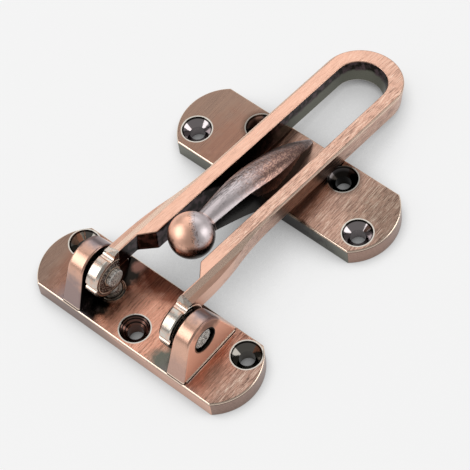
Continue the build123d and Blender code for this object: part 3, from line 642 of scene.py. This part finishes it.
def bar_material(finish):
    """The bar's plating, in its own tilted frame: brushed pink outside, glossy black on the inner walls."""
    material, tree = new_material("brushed_antique_copper_bar")
    place = add(tree, "ShaderNodeVectorMath", {0: millimetres(tree), 1: HINGE}, operation="SUBTRACT")
    place = add(tree, "ShaderNodeMapping", {"Vector": place, "Rotation": (math.radians(BAR_TILT), 0, 0)})
    split = add(tree, "ShaderNodeSeparateXYZ", {0: place}).outputs
    wear = add(tree, "ShaderNodeMapRange", {"Value": split["X"], "From Min": -14, "From Max": 14,
                                            "To Min": 0.9, "To Max": 0.45})
    marked = add(tree, "ShaderNodeMapRange", {"Value": split["X"], "From Min": -14, "From Max": 14,
                                              "To Min": 0.15, "To Max": 0.65})
    colour, rough, height = brushed(tree, place, finish, wear, marked)
    cloud = add(tree, "ShaderNodeTexNoise", {"Vector": place, "Scale": 0.5, "Detail": 4.0})
    # Rubbed copper near the right hub, and a painted highlight on the bar there
    rubbed_and_highlight = area(tree, place, (15, 12, 8), (9, 17, 9), cloud, 0.85)

    # The slot's walls, inside a line that follows the U, with dark plating low down at the far end
    past = add(tree, "ShaderNodeMath", {0: split["Y"], 1: BAR_BEND}, operation="SUBTRACT")
    past = add(tree, "ShaderNodeMath", {0: past, 1: 0.0}, operation="MAXIMUM")
    flat = add(tree, "ShaderNodeCombineXYZ", {0: split["X"], 1: past})
    away = add(tree, "ShaderNodeVectorMath", {0: flat}, operation="LENGTH").outputs["Value"]
    inner = add(tree, "ShaderNodeMapRange", {"Value": away, "From Min": 13.1, "From Max": 13.0})
    below = add(tree, "ShaderNodeMapRange", {"Value": split["Z"], "From Min": 9.15, "From Max": 9.0})
    wall = add(tree, "ShaderNodeMath", {0: inner, 1: below}, operation="MULTIPLY")
    lower = add(tree, "ShaderNodeMath", {0: cloud, 1: 2.0, 2: split["Z"]}, operation="MULTIPLY_ADD")
    lower = add(tree, "ShaderNodeMapRange", {"Value": lower, "From Min": 7.4, "From Max": 6.6})
    far = add(tree, "ShaderNodeMapRange", {"Value": split["Y"], "From Min": 70, "From Max": 85})
    for within in (far, wall):
        lower = add(tree, "ShaderNodeMath", {0: lower, 1: within}, operation="MULTIPLY")

    # Worn lines: along the outer bevel, and along the foot of the inner walls
    edge = add(tree, "ShaderNodeMath", {0: split["Z"], 1: 8.95, 2: 0.3}, operation="COMPARE")
    outer = add(tree, "ShaderNodeMath", {0: 1.0, 1: inner}, operation="SUBTRACT")
    for within in (outer, 0.6):
        edge = add(tree, "ShaderNodeMath", {0: edge, 1: within}, operation="MULTIPLY")
    foot = add(tree, "ShaderNodeMath", {0: split["Z"], 1: 1.85, 2: 0.16}, operation="COMPARE")
    foot = add(tree, "ShaderNodeMath", {0: foot, 1: inner}, operation="MULTIPLY")

    # Hubs: black faces with silver flecks and two bright rings, painted dark and bright reflections of polished
    # faces, and rims polished to bare and pink metal
    stain_and_shade = add(tree, "ShaderNodeMapRange", {"Value": cloud, "From Min": 0.45, "From Max": 0.6})
    sooty = add(tree, "ShaderNodeMix", {0: stain_and_shade, 6: rgba(finish.black), 7: rgba(finish.soot)},
                data_type="RGBA")
    pink = add(tree, "ShaderNodeMath", {0: stain_and_shade, 1: 0.6}, operation="MULTIPLY")
    used = add(tree, "ShaderNodeMix", {0: pink, 6: rgba(finish.silver), 7: rgba(finish.copper)},
               data_type="RGBA")
    hub = add(tree, "ShaderNodeMapRange", {"Value": split["Y"], "From Min": HUB_END[0],
                                           "From Max": HUB_END[1]})
    fleck_glints = add(tree, "ShaderNodeTexNoise", {"Vector": place, "Scale": 1.8, "Detail": 3.0, "Roughness": 0.6})
    fleck_glints = add(tree, "ShaderNodeMapRange", {"Value": fleck_glints, "From Min": 0.5, "From Max": 0.55,
                                              "To Max": 0.8})
    turned = add(tree, "ShaderNodeVectorMath", {0: place, 1: (0, 1, 1)}, operation="MULTIPLY")
    radius = add(tree, "ShaderNodeVectorMath", {0: turned}, operation="LENGTH").outputs["Value"]
    highlight_rings = [add(tree, "ShaderNodeMath", {0: radius, 1: reach, 2: HUB_HIGHLIGHT_RING_HALF}, operation="COMPARE")
             for reach in HUB_HIGHLIGHT_RINGS]
    highlight_rings = add(tree, "ShaderNodeMath", {0: highlight_rings[0], 1: highlight_rings[1]}, operation="MAXIMUM")
    rim = add(tree, "ShaderNodeMapRange", {"Value": radius, "From Min": HUB_RIM[0], "From Max": HUB_RIM[1]})
    fleck_glints, highlight_rings, rim = [add(tree, "ShaderNodeMath", {0: share, 1: hub}, operation="MULTIPLY")
                          for share in (fleck_glints, highlight_rings, rim)]

    layers = [(None, colour, rough), (rubbed_and_highlight, rgba(finish.copper), finish.roughness),
              (edge, rgba(finish.bright), finish.gloss + 0.1), (wall, sooty, finish.gloss),
              (lower, rgba(finish.dark), finish.gloss), (foot, rgba(finish.silver), finish.gloss),
              (hub, sooty, finish.gloss), (fleck_glints, rgba(finish.silver), 0.65),
              (highlight_rings, rgba(finish.bright), 0.7), (rim, used, finish.gloss + 0.1)]
    finish_surface(tree, layers, height)
    return material


def steel_material(name, colour, roughness):
    """Turned steel, dull nickel plated: cold grey, with lathe marks drawn 0.4 mm wide so that they show."""
    material, tree = new_material(name)
    place = add(tree, "ShaderNodeTexCoord").outputs["Object"]
    place = add(tree, "ShaderNodeMapping", {"Vector": place, "Scale": [1 / (size * MM) for size in LATHE_MARK]})
    grain = add(tree, "ShaderNodeTexNoise", {"Vector": place, "Scale": 1.0, "Detail": 3.0})
    strokes = add(tree, "ShaderNodeMapRange", {"Value": grain, "From Min": 0.42, "From Max": 0.5})
    shade = add(tree, "ShaderNodeMix", {0: strokes, 6: rgba(colour, 0.35), 7: rgba(colour)}, data_type="RGBA")
    varied = add(tree, "ShaderNodeMapRange", {"Value": grain, "To Min": roughness - 0.06,
                                              "To Max": roughness + 0.08})
    bump = add(tree, "ShaderNodeBump", {"Height": grain, "Strength": 1.0, "Distance": LATHE_DEPTH})
    shader = add(tree, "ShaderNodeBsdfPrincipled", {"Base Color": shade, "Metallic": 1.0,
                                                    "Roughness": varied, "Normal": bump})
    add(tree, "ShaderNodeOutputMaterial", {"Surface": shader})
    return material


def dress(node, material):
    """Gives one CAD node a material."""
    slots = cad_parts[node].material_slots
    for slot in slots:
        slot.material = material
    if not slots:
        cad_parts[node].data.materials.append(material)


# ---------------------------------------------------------------- pieces


def spring_tree(material):
    """A Geometry Nodes tree that winds a round wire into a coil standing on the origin."""
    tree = bpy.data.node_groups.new("coil_spring", "GeometryNodeTree")
    face = tree.interface
    face.new_socket("Geometry", in_out="OUTPUT", socket_type="NodeSocketGeometry")
    for name, kind in (("Turns", "NodeSocketFloat"), ("Height", "NodeSocketFloat"),
                       ("Coil radius", "NodeSocketFloat"), ("Wire radius", "NodeSocketFloat"),
                       ("Steps", "NodeSocketInt")):
        face.new_socket(name, in_out="INPUT", socket_type=kind)
    given = add(tree, "NodeGroupInput").outputs
    coil = add(tree, "GeometryNodeCurveSpiral", {"Resolution": given["Steps"], "Rotations": given["Turns"],
                                                 "Start Radius": given["Coil radius"],
                                                 "End Radius": given["Coil radius"],
                                                 "Height": given["Height"]})
    ring = add(tree, "GeometryNodeCurvePrimitiveCircle", {"Resolution": 12, "Radius": given["Wire radius"]})
    wire = add(tree, "GeometryNodeCurveToMesh", {"Curve": coil, "Profile Curve": ring, "Fill Caps": True})
    smooth = add(tree, "GeometryNodeSetShadeSmooth", {"Geometry": wire})
    real = add(tree, "GeometryNodeRealizeInstances", {"Geometry": smooth})
    finished = add(tree, "GeometryNodeSetMaterial", {"Geometry": real, "Material": material})
    add(tree, "NodeGroupOutput", {"Geometry": finished})
    return tree


def plain_mesh(piece):
    """Replaces an object's live modifiers by the mesh they make."""
    seen = piece.evaluated_get(bpy.context.evaluated_depsgraph_get())
    mesh = bpy.data.meshes.new_from_object(seen)
    piece.modifiers.clear()
    piece.data = mesh
    mesh.name = piece.name


class GUARD_OT_bar_plate(bpy.types.Operator):
    """Finish the hinge plate and its ears"""
    bl_idname = "guard.bar_plate"
    bl_label = "Bar plate"

    def execute(self, context):
        dress("bar_plate", bar_plate_material(context.scene.guard_finish))
        return {"FINISHED"}


class GUARD_OT_catch_plate(bpy.types.Operator):
    """Finish the catch plate, its arm and its ball"""
    bl_idname = "guard.catch_plate"
    bl_label = "Catch plate"

    def execute(self, context):
        dress("catch_plate", catch_plate_material(context.scene.guard_finish))
        return {"FINISHED"}


class GUARD_OT_swing_bar(bpy.types.Operator):
    """Finish the swing bar"""
    bl_idname = "guard.swing_bar"
    bl_label = "Swing bar"

    def execute(self, context):
        dress("swing_bar", bar_material(context.scene.guard_finish))
        return {"FINISHED"}


class GUARD_OT_pins(bpy.types.Operator):
    """Finish the two pivot pins"""
    bl_idname = "guard.pins"
    bl_label = "Pivot pins"

    def execute(self, context):
        steel = steel_material("nickel_plated_steel_pin", context.scene.guard_finish.pin, 0.6)
        for side in SIDES:
            dress(side + "_pivot_pin", steel)
        return {"FINISHED"}


class GUARD_OT_detents(bpy.types.Operator):
    """Finish the plungers and wind their springs"""
    bl_idname = "guard.detents"
    bl_label = "Detents"

    def execute(self, context):
        sizes, finish = context.scene.guard_spring, context.scene.guard_finish
        steel = steel_material("nickel_plated_steel_plunger", finish.plunger, 0.3)
        tree = spring_tree(steel_material("bright_spring_wire", finish.spring, 0.25))
        for side in SIDES:
            dress(side + "_detent_plunger", steel)
            node = side + "_detent_spring"
            low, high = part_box(node)
            name = side + "_coil_spring"
            piece = bpy.data.objects.new(name, bpy.data.meshes.new(name))
            context.scene.collection.objects.link(piece)
            modifier = piece.modifiers.new("coil", "NODES")
            modifier.node_group = tree
            values = {"Turns": sizes.turns, "Height": high.z - low.z - sizes.wire,
                      "Coil radius": (high.x - low.x - sizes.wire) / 2, "Wire radius": sizes.wire / 2,
                      "Steps": sizes.steps}
            for socket in tree.interface.items_tree:
                if socket.in_out == "INPUT":
                    modifier[socket.identifier] = values[socket.name]
            context.view_layer.update()
            plain_mesh(piece)
            foot = Vector(((low.x + high.x) / 2, (low.y + high.y) / 2, low.z + sizes.wire / 2))
            for vertex in piece.data.vertices:
                vertex.co += foot
            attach(piece, "plates")
            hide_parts(node)
            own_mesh(piece)
        return {"FINISHED"}


# ---------------------------------------------------------------- stage


def paper_material(stage):
    """Matt white paper with an even glow for camera and mirrors, so that it looks bright under soft light."""
    material, tree = new_material("white_paper_sweep")
    paper = add(tree, "ShaderNodeBsdfDiffuse", {"Color": rgba(stage.floor)})
    # Light reaches the paper less under the edges and in the screw holes: a soft contact shadow
    open_sky = add(tree, "ShaderNodeAmbientOcclusion", {"Distance": 0.03}).outputs["AO"]
    strength = add(tree, "ShaderNodeMapRange", {"Value": open_sky, "From Min": 0.08, "From Max": 0.78})
    glow = add(tree, "ShaderNodeEmission", {"Color": rgba(stage.floor), "Strength": strength})
    ray = add(tree, "ShaderNodeLightPath").outputs
    seen = add(tree, "ShaderNodeMath", {0: ray["Is Camera Ray"], 1: ray["Is Glossy Ray"]},
               operation="MAXIMUM")
    share = add(tree, "ShaderNodeMath", {0: seen, 1: stage.floor_glow}, operation="MULTIPLY")
    mixed = add(tree, "ShaderNodeMixShader", {0: share, 1: paper, 2: glow})
    add(tree, "ShaderNodeOutputMaterial", {"Surface": mixed})
    return material


def studio_world(stage):
    """A dim, even room that the camera sees as white."""
    world = bpy.data.worlds.new("studio")
    world.use_nodes = True
    tree = world.node_tree
    tree.nodes.clear()
    ray = add(tree, "ShaderNodeLightPath").outputs
    room = add(tree, "ShaderNodeBackground", {"Color": (1, 1, 1, 1), "Strength": stage.room})
    white = add(tree, "ShaderNodeBackground", {"Color": rgba(stage.floor), "Strength": 1.0})
    mixed = add(tree, "ShaderNodeMixShader", {0: ray["Is Camera Ray"], 1: room, 2: white})
    add(tree, "ShaderNodeOutputWorld", {"Surface": mixed})
    return world


def lamp(name, azimuth, elevation, distance, width, height, radiance):
    """A soft box that looks at the object, with its brightness given as radiance."""
    data = bpy.data.lights.new(name, "AREA")
    data.shape = "RECTANGLE"
    data.size, data.size_y = width, height
    data.energy = math.pi * width * height * radiance
    piece = bpy.data.objects.new(name, data)
    flat = math.cos(math.radians(elevation))
    way = Vector((flat * math.cos(math.radians(azimuth)), flat * math.sin(math.radians(azimuth)),
                  math.sin(math.radians(elevation))))
    piece.location = LAMP_TARGET + way * distance
    piece.rotation_euler = way.to_track_quat("Z", "Y").to_euler()
    bpy.context.scene.collection.objects.link(piece)


class GUARD_OT_stage(bpy.types.Operator):
    """Set out the floor, the lamps, the room and the camera"""
    bl_idname = "guard.stage"
    bl_label = "Stage"

    def execute(self, context):
        scene, stage = context.scene, context.scene.guard_stage
        scene.view_settings.view_transform = "Standard"

        mesh = bpy.data.meshes.new("floor")
        half = 3.0
        corners = [(-half, -half, 0), (half, -half, 0), (half, half, 0), (-half, half, 0)]
        mesh.from_pydata(corners, [], [(0, 1, 2, 3)])
        mesh.materials.append(paper_material(stage))
        floor = bpy.data.objects.new("floor", mesh)
        floor.location.z = -0.1 * MM
        scene.collection.objects.link(floor)

        scene.world = studio_world(stage)
        for values in LAMPS:
            lamp(*values)

        data = bpy.data.cameras.new("camera")
        data.sensor_fit = "HORIZONTAL"
        data.sensor_width = 36
        data.lens = stage.lens_per_width * data.sensor_width
        data.shift_y = 1 / FRAME_WIDTH
        data.clip_start, data.clip_end = 0.01, 20
        camera = bpy.data.objects.new("camera", data)
        camera.location = stage.camera_place
        camera.rotation_euler = Euler(stage.camera_turn)
        scene.collection.objects.link(camera)
        scene.camera = camera
        return {"FINISHED"}


class GUARD_PT_panel(bpy.types.Panel):
    """Lists the steps and the settings of the door guard"""
    bl_idname = "GUARD_PT_panel"
    bl_label = "Door Guard"
    bl_space_type = "VIEW_3D"
    bl_region_type = "UI"
    bl_category = "Door Guard"

    def draw(self, context):
        layout = self.layout
        for operator in OPERATORS:
            layout.operator(operator.bl_idname)
        for group, _ in GROUPS:
            column = layout.column()
            settings = getattr(context.scene, group)
            for name in settings.bl_rna.properties.keys():
                if name not in ("rna_type", "name"):
                    column.prop(settings, name)


GROUPS = (("guard_finish", GuardFinish), ("guard_spring", GuardSpring), ("guard_stage", GuardStage))
OPERATORS = (GUARD_OT_stage, GUARD_OT_bar_plate, GUARD_OT_catch_plate, GUARD_OT_swing_bar, GUARD_OT_pins,
             GUARD_OT_detents)


def register():
    for name, group in GROUPS:
        bpy.utils.register_class(group)
        setattr(bpy.types.Scene, name, PointerProperty(type=group))
    for kind in (*OPERATORS, GUARD_PT_panel):
        bpy.utils.register_class(kind)


def unregister():
    for kind in (GUARD_PT_panel, *reversed(OPERATORS)):
        bpy.utils.unregister_class(kind)
    for name, group in reversed(GROUPS):
        delattr(bpy.types.Scene, name)
        bpy.utils.unregister_class(group)


def main():
    register()
    for operator in OPERATORS:
        getattr(bpy.ops.guard, operator.bl_idname.split(".")[1])()


if __name__ == "__main__":
    main()
